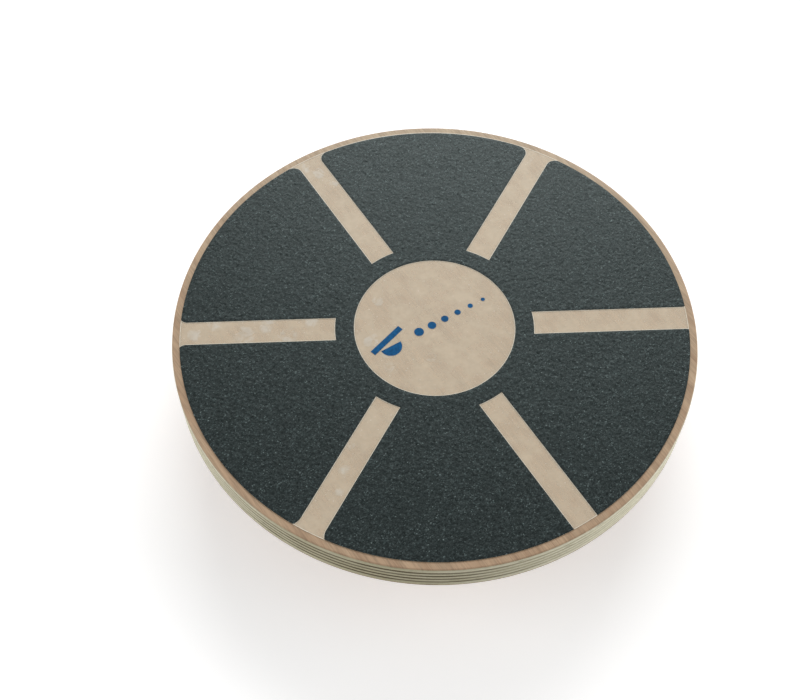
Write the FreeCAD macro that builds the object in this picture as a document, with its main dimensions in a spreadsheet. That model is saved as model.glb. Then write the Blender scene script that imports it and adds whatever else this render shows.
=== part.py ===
import FreeCAD, Part
import math
import os
import Sketcher

# Round plywood balance board on a hollow dome base.
# Frame: millimetres, +Z up, origin on the floor under the middle of the dome.

os.makedirs("parts", exist_ok=True)

CORE_PLIES = 9
SPOKES = 6
SCREWS = 6
RIB_WALLS = 4
EMBLEM_DOTS = 6
DRILLED_PLIES = 5

# Heights closer than LEVEL are the same, and so are places closer than NEAR.
LEVEL = 1e-6
NEAR = 0.01

# alias, value in millimetres or degrees, meaning
DIMENSIONS = [
    ("deck_radius", 200.0, "radius of the plywood disc"),
    ("face_veneer", 0.6, "thickness of each face veneer"),
    ("outer_ply", 4.15, "thickness of the first and last core plies"),
    ("inner_ply", 2.5, "thickness of the core plies between them"),
    ("edge_round", 0.5, "rounding of the deck's outer corners"),
    ("base_height", 60.0, "floor to the deck's underside"),
    ("film_radius", 194.0, "radius of the clear film"),
    ("film_thick", 0.3, "thickness of the clear film"),
    ("grit_thick", 0.45, "thickness of the grit coat"),
    ("grit_radius", 195.5, "outer radius of the grit print, which the film's edge trims"),
    ("print_shift", 2.3, "how far the print sits off the middle, towards -Y"),
    ("window_radius", 61.6, "radius of the round clear window"),
    ("spoke_width", 20.2, "width of a clear spoke"),
    ("spoke_start", 75.9, "outer radius of the grit ring where the spokes end"),
    ("corner_1", 3.5, "corner radius where the first spoke meets the print's edge"),
    ("corner_2", 7.5, "the same at the second spoke, 60 degrees on"),
    ("corner_3", 7.5, "the same at the third spoke"),
    ("corner_4", 6.0, "the same at the fourth spoke"),
    ("corner_5", 9.5, "the same at the fifth spoke"),
    ("corner_6", 3.5, "the same at the sixth spoke"),
    ("emblem_thick", 0.06, "thickness of the blue print"),
    ("emblem_angle", 29.0, "rise of the emblem's base line from +X"),
    ("emblem_lift", 1.5, "how far the emblem's base line sits from the print's middle"),
    ("rocker_radius", 8.5, "radius of the emblem's half disc"),
    ("rocker_place", -38.0, "place of the half disc along the base line"),
    ("bar_length", 31.0, "length of the emblem's tilted bar"),
    ("bar_width", 4.6, "width of the emblem's tilted bar"),
    ("bar_tilt", 17.0, "tilt of the bar from the base line"),
    ("bar_lift", 6.1, "height of the bar's middle over the half disc's centre"),
    ("dot_first", -13.0, "place of the first dot along the base line"),
    ("dot_pitch", 11.6, "distance from dot to dot"),
    ("dot_radius", 3.7, "radius of the first dot"),
    ("dot_step", 0.42, "how much each dot is smaller than the one before"),
    ("curve_centre", 80.0, "height of the dome's centre of curvature"),
    ("dome_radius", 81.4, "outer radius of the dome"),
    ("cavity_radius", 77.4, "inner radius of the dome"),
    ("weld_radius", 79.4, "sphere inside the dome's wall where ribs end"),
    ("seat_radius", 42.0, "radius of the thick seat round the pad"),
    ("seat_inner", 73.0, "inner sphere of the thick seat"),
    ("recess_radius", 36.0, "radius of the pad's recess"),
    ("recess_floor", 77.0, "sphere of the recess floor"),
    ("lip_radius", 82.0, "outer radius of the lip round the dome's mouth"),
    ("lip_thick", 2.5, "thickness of the lip"),
    ("clamp_radius", 92.0, "outer radius of the clamp ring"),
    ("clamp_bore", 78.5, "radius of the clamp ring's bore"),
    ("clamp_thick", 6.0, "thickness of the clamp ring"),
    ("clamp_round", 1.5, "rounding of the clamp ring's lower edge"),
    ("rib_thick", 3.0, "thickness of a radial rib"),
    ("ring_radius", 58.0, "outer radius of the round rib"),
    ("ring_thick", 2.6, "thickness of the round rib"),
    ("hub_radius", 11.0, "radius of the hub"),
    ("hub_bore", 6.0, "radius of the hub's bores"),
    ("stem_top", 16.0, "height of the top of the pad's stem"),
    ("stem_floor", 1.0, "height in the pad where its stem starts"),
    ("stem_bore_top", 17.0, "height of the top of the stem's bore"),
    ("hub_web", 3.0, "thickness of the web between the hub's bores"),
    ("pad_radius", 35.8, "radius of the rubber pad"),
    ("pad_sphere", 82.0, "outer radius of the rubber pad"),
    ("fit_gap", 0.1, "gap between a piece and the recess that holds it"),
    ("screw_circle", 84.5, "radius of the screw circle"),
    ("screw_shank", 1.95, "radius of a screw's shank"),
    ("screw_grip", 13.0, "length of screw inside the deck"),
    ("head_radius", 4.2, "radius of a screw head"),
    ("head_height", 2.4, "height of a screw head"),
    ("head_round", 1.5, "rounding of a screw head's rim"),
    ("bore_depth", 3.0, "depth of a counterbore in the clamp ring"),
    ("bore_radius", 4.8, "radius of a counterbore"),
    ("hole_radius", 2.3, "radius of a screw hole in the clamp ring"),
    ("pilot_radius", 2.0, "radius of a pilot hole in the deck"),
    ("slot_length", 5.0, "length of a slot in the cross recess"),
    ("slot_width", 1.1, "width of a slot in the cross recess"),
    ("slot_depth", 1.4, "depth of the cross recess"),
    ("overrun", 5.0, "how far a cutting tool runs past the face it cuts"),
]

doc = FreeCAD.newDocument("BalanceBoard")
sheet = doc.addObject("Spreadsheet::Sheet", "Dims")
for row, (alias, value, meaning) in enumerate(DIMENSIONS, start=1):
    sheet.set("A%d" % row, alias)
    sheet.set("B%d" % row, str(value))
    sheet.set("C%d" % row, meaning)
    sheet.setAlias("B%d" % row, alias)
doc.recompute()

finished = []


def size(alias):
    """A driving dimension, read from the sheet."""
    return float(sheet.get(alias))


def bind(item, **formulas):
    """Bind properties to formulas. A double underscore stands for a dot."""
    for name, formula in formulas.items():
        item.setExpression(name.replace("__", "."), formula)
    return item


def finish(item, label):
    """Give a sub-part its label and list it for export."""
    item.Label = label
    finished.append(item)
    return item


# Part primitives and booleans

def cylinder(name, radius, height, floor="0", x="0", y="0"):
    item = doc.addObject("Part::Cylinder", name)
    bind(item, Radius=radius, Height=height)
    return bind(item, Placement__Base__x=x, Placement__Base__y=y, Placement__Base__z=floor)


def ball(name, radius):
    item = doc.addObject("Part::Sphere", name)
    return bind(item, Radius=radius, Placement__Base__z="Dims.curve_centre")


def turned_box(name, length, width, height, floor, turn, x="0", y="0"):
    """A box with its middle over (x, y), turned by some degrees about +Z."""
    item = doc.addObject("Part::Box", name)
    item.Placement.Rotation = FreeCAD.Rotation(FreeCAD.Vector(0, 0, 1), 1)
    bind(item, Length=length, Width=width, Height=height)
    bind(item, Placement__Rotation__Angle=turn, Placement__Base__z=floor)
    along = "(%s) / 2" % length
    across = "(%s) / 2" % width
    cosine = "cos(%s)" % turn
    sine = "sin(%s)" % turn
    bind(item, Placement__Base__x="%s - %s * %s + %s * %s" % (x, along, cosine, across, sine))
    return bind(item, Placement__Base__y="%s - %s * %s - %s * %s" % (y, along, sine, across, cosine))


def pair(kind, name, base, tool):
    item = doc.addObject(kind, name)
    item.Base = base
    item.Tool = tool
    return item


def cut(name, base, tool):
    return pair("Part::Cut", name, base, tool)


def common(name, base, tool):
    return pair("Part::Common", name, base, tool)


def join(name, items):
    item = doc.addObject("Part::MultiFuse", name)
    item.Shapes = items
    return item


# PartDesign bodies

def origin_plane(body, role):
    return next(item for item in body.Origin.OriginFeatures if item.Role == role)


def new_body(name, floor):
    body = doc.addObject("PartDesign::Body", name)
    return bind(body, Placement__Base__z=floor)


def flat_sketch(body, name):
    """A sketch on the body's own XY plane."""
    sketch = body.newObject("Sketcher::SketchObject", name)
    sketch.AttachmentSupport = [(origin_plane(body, "XY_Plane"), "")]
    sketch.MapMode = "FlatFace"
    return sketch


def add_circle(sketch, radius, place=None):
    """A circle about the origin, or about a place on +X, with its radius bound."""
    x = 0.0 if place is None else size(place.split(".")[-1])
    drawn = size(radius.split(".")[-1])
    start = FreeCAD.Vector(x, 0, 0)
    index = sketch.addGeometry(Part.Circle(start, FreeCAD.Vector(0, 0, 1), drawn), False)
    number = sketch.addConstraint(Sketcher.Constraint("Radius", index, drawn))
    sketch.setExpression("Constraints[%d]" % number, radius)
    if place is None:
        sketch.addConstraint(Sketcher.Constraint("Coincident", index, 3, -1, 1))
        return
    sketch.addConstraint(Sketcher.Constraint("PointOnObject", index, 3, -1))
    number = sketch.addConstraint(Sketcher.Constraint("DistanceX", -1, 1, index, 3, x))
    sketch.setExpression("Constraints[%d]" % number, place)


def add_slot(sketch, start, end, width):
    """A rectangle along +X, centred on the axis, drawn at the print's size and then bound."""
    low, high, half = size("spoke_start"), size("grit_radius"), size("spoke_width") / 2
    corners = [(low, -half), (high, -half), (high, half), (low, half)]
    points = [FreeCAD.Vector(x, y, 0) for x, y in corners]
    lines = []
    for here, there in zip(points, points[1:] + points[:1]):
        lines.append(sketch.addGeometry(Part.LineSegment(here, there), False))
    for one, two in zip(lines, lines[1:] + lines[:1]):
        sketch.addConstraint(Sketcher.Constraint("Coincident", one, 2, two, 1))
    for line, way in zip(lines, ["Horizontal", "Vertical", "Horizontal"]):
        sketch.addConstraint(Sketcher.Constraint(way, line))
    sketch.addConstraint(Sketcher.Constraint("Symmetric", lines[3], 1, lines[3], 2, -1))
    limits = [("DistanceY", (lines[1], 1, lines[1], 2), 2 * half, width),
              ("DistanceX", (-1, 1, lines[0], 1), low, start),
              ("DistanceX", (-1, 1, lines[0], 2), high, end)]
    for way, ends, value, formula in limits:
        number = sketch.addConstraint(Sketcher.Constraint(way, *ends, value))
        sketch.setExpression("Constraints[%d]" % number, formula)


def pad(body, sketch, name, length):
    feature = body.newObject("PartDesign::Pad", name)
    feature.Profile = sketch
    bind(feature, Length=length)
    sketch.Visibility = False
    return feature


def pattern_of(body, feature, name, count):
    """Repeat a feature round the body's Z axis."""
    pattern = body.newObject("PartDesign::PolarPattern", name)
    pattern.Originals = [feature]
    pattern.Axis = (origin_plane(body, "Z_Axis"), [""])
    pattern.Angle = 360.0
    pattern.Occurrences = count
    body.Tip = pattern
    return pattern


def pocket_through(body, sketch, name):
    """Cut a sketch right through the body, upwards from its XY plane."""
    before = body.Shape.Volume
    feature = body.newObject("PartDesign::Pocket", name)
    feature.Profile = sketch
    feature.Type = "ThroughAll"
    feature.Reversed = True
    sketch.Visibility = False
    doc.recompute()
    if not feature.Shape.Volume < before - NEAR:
        raise RuntimeError("%s cuts nothing" % name)
    return feature


def edge_names(shape, wanted):
    """The names of the edges for which wanted(edge) is true."""
    return ["Edge%d" % (n + 1) for n, edge in enumerate(shape.Edges) if wanted(edge)]


def fillet(body, base, name, names, radius):
    feature = body.newObject("PartDesign::Fillet", name)
    feature.Base = (base, names)
    bind(feature, Radius=radius)
    body.Tip = feature
    return feature


# The plywood deck: two face veneers and the core plies between them

def ply(label, thickness, floor, drilled=False, round_edge=None):
    """One ply of the deck. round_edge is the height of the rim edge to round, or None."""
    body = new_body(label, floor)
    outline = flat_sketch(body, label + "_outline")
    add_circle(outline, "Dims.deck_radius")
    feature = pad(body, outline, label + "_pad", thickness)
    doc.recompute()
    if drilled:
        hole = flat_sketch(body, label + "_pilot")
        add_circle(hole, "Dims.pilot_radius", "Dims.screw_circle")
        pocket = pocket_through(body, hole, label + "_drill")
        feature = pattern_of(body, pocket, label + "_drill_ring", SCREWS)
        doc.recompute()
    if round_edge is not None:
        rim = size("deck_radius")

        def on_rim(edge):
            box = edge.BoundBox
            level = abs(box.ZMin - round_edge) + abs(box.ZMax - round_edge) < LEVEL
            return level and abs(box.XMax - rim) < NEAR
        fillet(body, feature, label + "_round", edge_names(feature.Shape, on_rim), "Dims.edge_round")
    return finish(body, label)


ply("face_veneer_bottom", "Dims.face_veneer", "Dims.base_height", drilled=True, round_edge=0.0)
next_floor = "Dims.base_height + Dims.face_veneer"
for number in range(1, CORE_PLIES + 1):
    thickness = "Dims.outer_ply" if number in (1, CORE_PLIES) else "Dims.inner_ply"
    ply("core_ply_%d" % number, thickness, next_floor, drilled=number <= DRILLED_PLIES)
    next_floor += " + " + thickness
ply("face_veneer_top", "Dims.face_veneer", next_floor, round_edge=size("face_veneer"))
DECK_TOP = next_floor + " + Dims.face_veneer"


# The clear film and the grit coat printed on it

film = new_body("clear_film", DECK_TOP)
film_outline = flat_sketch(film, "film_outline")
add_circle(film_outline, "Dims.film_radius")
pad(film, film_outline, "film_pad", "Dims.film_thick")
finish(film, "clear_film")
FILM_TOP = DECK_TOP + " + Dims.film_thick"

grit = new_body("grit_print", FILM_TOP)
bind(grit, Placement__Base__y="-Dims.print_shift")
grit_outline = flat_sketch(grit, "grit_outline")
add_circle(grit_outline, "Dims.grit_radius")
add_circle(grit_outline, "Dims.window_radius")
pad(grit, grit_outline, "grit_pad", "Dims.grit_thick")
doc.recompute()
spoke = flat_sketch(grit, "spoke_outline")
add_slot(spoke, "Dims.spoke_start - Dims.overrun", "Dims.grit_radius + Dims.overrun",
         "Dims.spoke_width")
spoke_pocket = pocket_through(grit, spoke, "spoke_pocket")
spoke_ring = pattern_of(grit, spoke_pocket, "spoke_ring", SPOKES)
doc.recompute()


def outer_corner(edge, spoke):
    """True for the upright edges where one spoke meets the print's outer edge."""
    box = edge.BoundBox
    upright = box.ZLength > NEAR and math.hypot(box.XLength, box.YLength) < NEAR
    if not upright or abs(math.hypot(box.XMin, box.YMin) - size("grit_radius")) > NEAR:
        return False
    turn = math.degrees(math.atan2(box.YMin, box.XMin)) - spoke * 360 / SPOKES
    return abs((turn + 180) % 360 - 180) < 180 / SPOKES


corners = spoke_ring
for spoke_number in range(SPOKES):
    names = edge_names(corners.Shape, lambda edge: outer_corner(edge, spoke_number))
    if len(names) != 2:
        raise RuntimeError("spoke %d has %d corners" % (spoke_number + 1, len(names)))
    corners = fillet(grit, corners, "spoke_corners_%d" % (spoke_number + 1), names,
                     "Dims.corner_%d" % (spoke_number + 1))
    doc.recompute()
ring_outline = flat_sketch(grit, "ring_outline")
add_circle(ring_outline, "Dims.spoke_start")
add_circle(ring_outline, "Dims.window_radius")
grit.Tip = pad(grit, ring_outline, "ring_pad", "Dims.grit_thick")
doc.recompute()
film_edge = cylinder("film_edge", "Dims.film_radius", "Dims.grit_thick", FILM_TOP)
finish(common("grit_coat", grit, film_edge), "grit_coat")


# The blue emblem: a tilted bar on a half disc, and a row of shrinking dots

def on_base_line(along, off="0"):
    """The x and y formulas of a point on the emblem's base line."""
    x = "(%s) * cos(Dims.emblem_angle) - (%s) * sin(Dims.emblem_angle)" % (along, off)
    y = "(%s) * sin(Dims.emblem_angle) + (%s) * cos(Dims.emblem_angle)" % (along, off)
    return x, "%s - Dims.print_shift" % y


rocker_x, rocker_y = on_base_line("Dims.rocker_place", "Dims.emblem_lift")
rocker_disc = cylinder("rocker_disc", "Dims.rocker_radius", "Dims.emblem_thick", FILM_TOP,
                       rocker_x, rocker_y)
upper_x, upper_y = on_base_line("Dims.rocker_place", "Dims.emblem_lift + Dims.rocker_radius")
upper_half = turned_box("upper_half", "3 * Dims.rocker_radius", "2 * Dims.rocker_radius",
                        "Dims.emblem_thick", FILM_TOP, "Dims.emblem_angle", upper_x, upper_y)
emblem_pieces = [cut("rocker_half", rocker_disc, upper_half)]
bar_x, bar_y = on_base_line("Dims.rocker_place", "Dims.emblem_lift + Dims.bar_lift")
emblem_pieces.append(turned_box("emblem_bar", "Dims.bar_length", "Dims.bar_width",
                                "Dims.emblem_thick", FILM_TOP,
                                "Dims.emblem_angle + Dims.bar_tilt", bar_x, bar_y))
for number in range(EMBLEM_DOTS):
    dot_x, dot_y = on_base_line("Dims.dot_first + %d * Dims.dot_pitch" % number, "Dims.emblem_lift")
    emblem_pieces.append(cylinder("emblem_dot_%d" % (number + 1),
                                  "Dims.dot_radius - %d * Dims.dot_step" % number,
                                  "Dims.emblem_thick", FILM_TOP, dot_x, dot_y))
emblem = doc.addObject("Part::Compound", "emblem_print")
emblem.Links = emblem_pieces
finish(emblem, "emblem_print")


# The dome: a hollow moulding with a lip, ribs, a hub and a seat for the pad

full_ball = ball("dome_ball", "Dims.dome_radius")
slab = cylinder("dome_slab", "Dims.dome_radius + Dims.overrun", "Dims.base_height")
lip = cylinder("dome_lip", "Dims.lip_radius", "Dims.lip_thick", "Dims.base_height - Dims.lip_thick")
dome_solid = join("dome_solid", [common("dome_cap", full_ball, slab), lip])
dome_wall = cut("dome_wall", dome_solid, ball("dome_cavity", "Dims.cavity_radius"))

RIB_FLOOR = "Dims.curve_centre - Dims.weld_radius"
RIB_HEIGHT = "Dims.base_height - Dims.curve_centre + Dims.weld_radius"
lattice = [cylinder("hub", "Dims.hub_radius", RIB_HEIGHT, RIB_FLOOR)]
ring_outside = cylinder("ring_outside", "Dims.ring_radius", RIB_HEIGHT, RIB_FLOOR)
ring_inside = cylinder("ring_inside", "Dims.ring_radius - Dims.ring_thick", RIB_HEIGHT, RIB_FLOOR)
lattice.append(cut("ring_rib", ring_outside, ring_inside))
for number in range(RIB_WALLS):
    turn = "%g" % ((number + 0.5) * 180 / RIB_WALLS)
    lattice.append(turned_box("rib_%d" % (number + 1), "2 * Dims.dome_radius", "Dims.rib_thick",
                              RIB_HEIGHT, RIB_FLOOR, turn))
ribs = common("dome_ribs", join("rib_lattice", lattice), ball("rib_ends", "Dims.weld_radius"))

seat_block = common("seat_block", cylinder("seat_post", "Dims.seat_radius", "Dims.base_height"),
                    ball("seat_outside", "Dims.weld_radius"))
seat = cut("pad_seat", seat_block, ball("seat_inside", "Dims.seat_inner"))
moulding = join("dome_moulding", [dome_wall, ribs, seat])

recess = cut("pad_recess", cylinder("recess_post", "Dims.recess_radius", "Dims.recess_radius",
                                    "-Dims.overrun"), ball("recess_ball", "Dims.recess_floor"))
stem_bore = cylinder("stem_bore", "Dims.hub_bore", "Dims.stem_bore_top + Dims.overrun",
                     "-Dims.overrun")
hub_core = cylinder("hub_core", "Dims.hub_bore", "Dims.base_height",
                    "Dims.stem_bore_top + Dims.hub_web")
finish(cut("dome_shell", moulding, join("dome_tools", [recess, stem_bore, hub_core])),
       "dome_shell")


# The clamp ring that holds the dome's lip against the deck

def screw_place(number):
    """The x and y formulas of a screw on its circle."""
    turn = number * 360 // SCREWS
    return "Dims.screw_circle * cos(%d)" % turn, "Dims.screw_circle * sin(%d)" % turn


CLAMP_FLOOR = "Dims.base_height - Dims.clamp_thick"
tools = [cylinder("clamp_hole", "Dims.clamp_bore", "Dims.clamp_thick + 2 * Dims.overrun",
                  CLAMP_FLOOR + " - Dims.overrun"),
         cylinder("clamp_rebate", "Dims.lip_radius + Dims.fit_gap", "Dims.lip_thick + Dims.overrun",
                  "Dims.base_height - Dims.lip_thick")]
for number in range(SCREWS):
    hole_x, hole_y = screw_place(number)
    tools.append(cylinder("screw_hole_%d" % (number + 1), "Dims.hole_radius",
                          "Dims.clamp_thick + 2 * Dims.overrun", CLAMP_FLOOR + " - Dims.overrun",
                          hole_x, hole_y))
    tools.append(cylinder("counterbore_%d" % (number + 1), "Dims.bore_radius",
                          "Dims.bore_depth + Dims.overrun", CLAMP_FLOOR + " - Dims.overrun",
                          hole_x, hole_y))
clamp_blank = cylinder("clamp_blank", "Dims.clamp_radius", "Dims.clamp_thick", CLAMP_FLOOR)
clamp_bored = cut("clamp_bored", clamp_blank, join("clamp_tools", tools))


def round_circle(name, base, radius, level, rounding):
    """Round the circular edge of one radius at one height."""
    doc.recompute()
    chosen = []
    for number, edge in enumerate(base.Shape.Edges, start=1):
        box = edge.BoundBox
        flat = abs(box.ZMin - level) + abs(box.ZMax - level) < LEVEL
        if flat and abs(box.XLength - 2 * radius) < NEAR:
            chosen.append((number, rounding, rounding))
    item = doc.addObject("Part::Fillet", name)
    item.Base = base
    item.Edges = chosen
    return item


clamp_level = size("base_height") - size("clamp_thick")
finish(round_circle("clamp_ring", clamp_bored, size("clamp_radius"), clamp_level,
                    size("clamp_round")), "clamp_ring")


# The rubber pad at the dome's pole, with a flat foot and a stem in the hub

pad_post = cylinder("pad_post", "Dims.pad_radius", "Dims.pad_radius")
pad_block = common("pad_block", pad_post, ball("pad_outside", "Dims.pad_sphere"))
pad_disc = cut("pad_disc", pad_block, ball("pad_inside", "Dims.recess_floor + Dims.fit_gap"))
pad_stem = cylinder("pad_stem", "Dims.hub_bore - Dims.fit_gap",
                    "Dims.stem_top - Dims.stem_floor", "Dims.stem_floor")
finish(join("pole_pad", [pad_disc, pad_stem]), "pole_pad")


# Six pan-head screws, head down in the clamp ring's counterbores

def screw(number):
    x, y = screw_place(number)
    mark = "_%d" % (number + 1)
    head_top = CLAMP_FLOOR + " + Dims.bore_depth"
    head = cylinder("screw_head" + mark, "Dims.head_radius", "Dims.head_height",
                    head_top + " - Dims.head_height", x, y)
    shank = cylinder("screw_shank" + mark, "Dims.screw_shank",
                     "Dims.clamp_thick - Dims.bore_depth + Dims.screw_grip", head_top, x, y)
    blank = join("screw_blank" + mark, [head, shank])
    head_level = clamp_level + size("bore_depth") - size("head_height")
    domed = round_circle("screw_domed" + mark, blank, size("head_radius"), head_level,
                         size("head_round"))
    slots = []
    for turn in (0, 90):
        slots.append(turned_box("slot_%d%s" % (turn, mark), "Dims.slot_length", "Dims.slot_width",
                                "Dims.slot_depth + Dims.overrun",
                                head_top + " - Dims.head_height - Dims.overrun", "%d" % turn, x, y))
    return cut("screw" + mark, domed, join("screw_cross" + mark, slots))


screws = doc.addObject("Part::Compound", "dome_screws")
screws.Links = [screw(number) for number in range(SCREWS)]
finish(screws, "dome_screws")


# Check everything, then write each sub-part

doc.recompute()
for item in doc.Objects:
    if "Invalid" in item.State or "Error" in item.State:
        raise RuntimeError("%s failed: %s" % (item.Name, item.State))
for item in finished:
    if item.Shape.isNull() or not item.Shape.isValid() or not item.Shape.Solids:
        raise RuntimeError("%s has no valid solid" % item.Label)
for item in finished:
    item.Shape.exportStep("parts/%s.step" % item.Label)
    box = item.Shape.BoundBox
    print("%-20s solids %d  volume %10.1f  z %7.2f to %7.2f" % (
        item.Label, len(item.Shape.Solids), item.Shape.Volume, box.ZMin, box.ZMax))
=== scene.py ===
import bpy
import bmesh
import math
import random
from mathutils import Matrix, Vector, geometry, noise


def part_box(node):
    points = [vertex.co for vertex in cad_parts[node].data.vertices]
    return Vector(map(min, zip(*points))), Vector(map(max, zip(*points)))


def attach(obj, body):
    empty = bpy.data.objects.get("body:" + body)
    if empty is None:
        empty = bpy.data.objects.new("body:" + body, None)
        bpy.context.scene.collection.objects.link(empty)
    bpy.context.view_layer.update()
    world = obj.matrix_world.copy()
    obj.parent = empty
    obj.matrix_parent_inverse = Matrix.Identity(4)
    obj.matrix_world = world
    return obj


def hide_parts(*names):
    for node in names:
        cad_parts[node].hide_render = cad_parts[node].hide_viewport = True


# Round plywood balance board. Everything is in metres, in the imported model's frame.

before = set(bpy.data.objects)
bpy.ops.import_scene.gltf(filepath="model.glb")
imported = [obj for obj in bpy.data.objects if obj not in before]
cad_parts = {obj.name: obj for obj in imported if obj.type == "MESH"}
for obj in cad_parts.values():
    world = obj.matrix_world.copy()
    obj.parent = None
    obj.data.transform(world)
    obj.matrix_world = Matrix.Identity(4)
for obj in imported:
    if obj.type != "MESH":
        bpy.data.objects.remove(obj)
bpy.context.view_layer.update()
scene = bpy.context.scene
MM = 0.001
TURN = 2 * math.pi


# Sizes: the deck's, film's and grit's read from the imported model, the rest given

def reach(node):
    """The largest distance of a node's vertices from the Z axis."""
    return max(math.hypot(v.co.x, v.co.y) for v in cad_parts[node].data.vertices)


CORE_NODES = sorted((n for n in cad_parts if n.startswith("core_ply_")),
                    key=lambda n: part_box(n)[0].z)
DECK_RADIUS = reach("core_ply_5")
DECK_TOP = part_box("face_veneer_top")[1].z
FILM_RADIUS = reach("clear_film")
FILM_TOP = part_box("clear_film")[1].z
GRIT_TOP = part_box("grit_coat")[1].z
PRINT_RADIUS = 195.5 * MM
PRINT_SHIFT = 2.3 * MM
WINDOW_RADIUS = 61.6 * MM
SPOKE_WIDTH = 20.2 * MM
SPOKE_START = 75.9 * MM
SPOKE_CORNERS = [corner * MM for corner in (3.5, 7.5, 7.5, 6.0, 9.5, 3.5)]
SPOKES = 6
ROUND_OVER = 1.6 * MM
FACE_GRAIN = math.radians(-58)
# The core plies' grain angles also place the painted shade on the rim: it is darkest where the rim faces
# a quarter turn from PALE_GRAIN, front and back.
PALE_GRAIN = math.radians(-17)
DARK_GRAIN = PALE_GRAIN + math.pi / 2
SCREWS = 6


# The studio and the camera

WORLD_LIGHT = 0.42
BACKDROP = 0.97
KEY_LIGHT = 78
SIDE_LIGHT = 26
FLOOR_GLOW = 0.3
FLOOR_RADIUS = 2.3
CAMERA_LENS = 54
CAMERA_RISE = 58
CAMERA_TURN = -2.2
CAMERA_DISTANCE = 0.905
CAMERA_AIM = Vector((-0.0272, -0.0228, DECK_TOP))


# Node material helpers

class Material:
    """A node material with one Principled shader, and short calls to add nodes."""

    def __init__(self, name, roughness=0.5, **sockets):
        self.material = bpy.data.materials.new(name)
        self.material.use_nodes = True
        self.tree = self.material.node_tree
        self.shader = self.tree.nodes["Principled BSDF"]
        self.shader.inputs["Roughness"].default_value = roughness
        for socket, value in sockets.items():
            self.shader.inputs[socket.replace("_", " ")].default_value = value
        self.coords = self.node("ShaderNodeTexCoord").outputs["Object"]

    def node(self, kind, inputs=None, **settings):
        made = self.tree.nodes.new(kind)
        for name, value in settings.items():
            setattr(made, name, value)
        for key, value in (inputs or {}).items():
            self.feed(made.inputs[key], value)
        return made

    def feed(self, socket, value):
        if isinstance(value, bpy.types.NodeSocket):
            self.tree.links.new(value, socket)
        else:
            socket.default_value = value

    def math(self, operation, a, b=0.0, clamp=False):
        return self.node("ShaderNodeMath", {0: a, 1: b}, operation=operation,
                         use_clamp=clamp).outputs[0]

    def noise(self, scale, detail=3.0, rough=0.5, at=None, distort=0.0):
        inputs = {"Vector": at or self.coords, "Scale": scale, "Detail": detail,
                  "Roughness": rough, "Distortion": distort}
        return self.node("ShaderNodeTexNoise", inputs).outputs["Fac"]

    def voronoi(self, scale, output="Distance"):
        return self.node("ShaderNodeTexVoronoi", {"Vector": self.coords, "Scale": scale}).outputs[output]

    def ramp(self, value, stops):
        """stops are (position, colour or grey)."""
        made = self.node("ShaderNodeValToRGB", {"Fac": value})
        elements = made.color_ramp.elements
        while len(elements) < len(stops):
            elements.new(0.5)
        for element, (position, shade) in zip(elements, stops):
            element.position = position
            grey = isinstance(shade, (int, float))
            element.color = (shade, shade, shade, 1) if grey else (*shade, 1)
        return made.outputs["Color"]

    def mix(self, factor, a, b, blend="MIX"):
        """Mix two colours. Sockets 6 and 7 of a Mix node are its two colours."""
        made = self.node("ShaderNodeMix", data_type="RGBA", blend_type=blend)
        for index, value in ((0, factor), (6, a), (7, b)):
            if isinstance(value, tuple) and len(value) == 3:
                value = (*value, 1)
            self.feed(made.inputs[index], value)
        return made.outputs[2]

    def spread(self, value, low, high, to_low=0.0, to_high=1.0):
        inputs = {"Value": value, "From Min": low, "From Max": high,
                  "To Min": to_low, "To Max": to_high}
        return self.node("ShaderNodeMapRange", inputs).outputs["Result"]

    def mapped(self, scale=(1, 1, 1), turn=0.0, shift=(0, 0, 0)):
        """Object coordinates turned about Z, then scaled."""
        turned = self.node("ShaderNodeVectorRotate", {"Vector": self.coords, "Angle": turn},
                           rotation_type="Z_AXIS").outputs[0]
        inputs = {"Vector": turned, "Scale": scale, "Location": shift}
        return self.node("ShaderNodeMapping", inputs).outputs[0]

    def bump(self, height, distance, strength):
        inputs = {"Height": height, "Distance": distance, "Strength": strength}
        return self.node("ShaderNodeBump", inputs).outputs["Normal"]

    def finish(self, colour=None, rough=None, normal=None, alpha=None):
        for name, value in (("Base Color", colour), ("Roughness", rough),
                            ("Normal", normal), ("Alpha", alpha)):
            if value is not None:
                self.feed(self.shader.inputs[name], value)
        return self.material


def srgb(text):
    """A linear colour from a six-digit hex one."""
    parts = [int(text[i:i + 2], 16) / 255 for i in (0, 2, 4)]
    return tuple(p / 12.92 if p <= 0.04045 else ((p + 0.055) / 1.055) ** 2.4 for p in parts)


# Mesh helpers

def new_piece(name, mesh, materials, node=None, smooth=35):
    """Link a mesh as a piece that rides on the root body."""
    mesh.name = name
    piece = bpy.data.objects.new(name, mesh)
    scene.collection.objects.link(piece)
    for material in materials:
        mesh.materials.append(material)
    if smooth is not None:
        mesh.shade_smooth()
        mesh.set_sharp_from_angle(angle=math.radians(smooth))
    if node is not None:
        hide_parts(node)
        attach(piece, "root")
    return piece


def lathe(profile, segments=256, ripple=None, loop=False):
    """A closed mesh from an (r, z) outline that starts and ends on the axis, or is a loop."""
    mesh = bmesh.new()
    rings = []
    for r, z in profile:
        if r < 1e-9:
            rings.append([mesh.verts.new((0, 0, z))])
            continue
        ring = []
        for step in range(segments):
            angle = TURN * step / segments
            reach_here = r + (ripple(r, z, angle) if ripple else 0.0)
            ring.append(mesh.verts.new((reach_here * math.cos(angle),
                                        reach_here * math.sin(angle), z)))
        rings.append(ring)
    for lower, upper in zip(rings, rings[1:] + rings[:1] if loop else rings[1:]):
        for step in range(segments):
            after = (step + 1) % segments
            corners = []
            corners += [lower[0]] if len(lower) == 1 else [lower[step], lower[after]]
            corners += [upper[0]] if len(upper) == 1 else [upper[after], upper[step]]
            mesh.faces.new(corners)
    bmesh.ops.recalc_face_normals(mesh, faces=mesh.faces)
    made = bpy.data.meshes.new("lathe")
    mesh.to_mesh(made)
    mesh.free()
    return made


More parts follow.
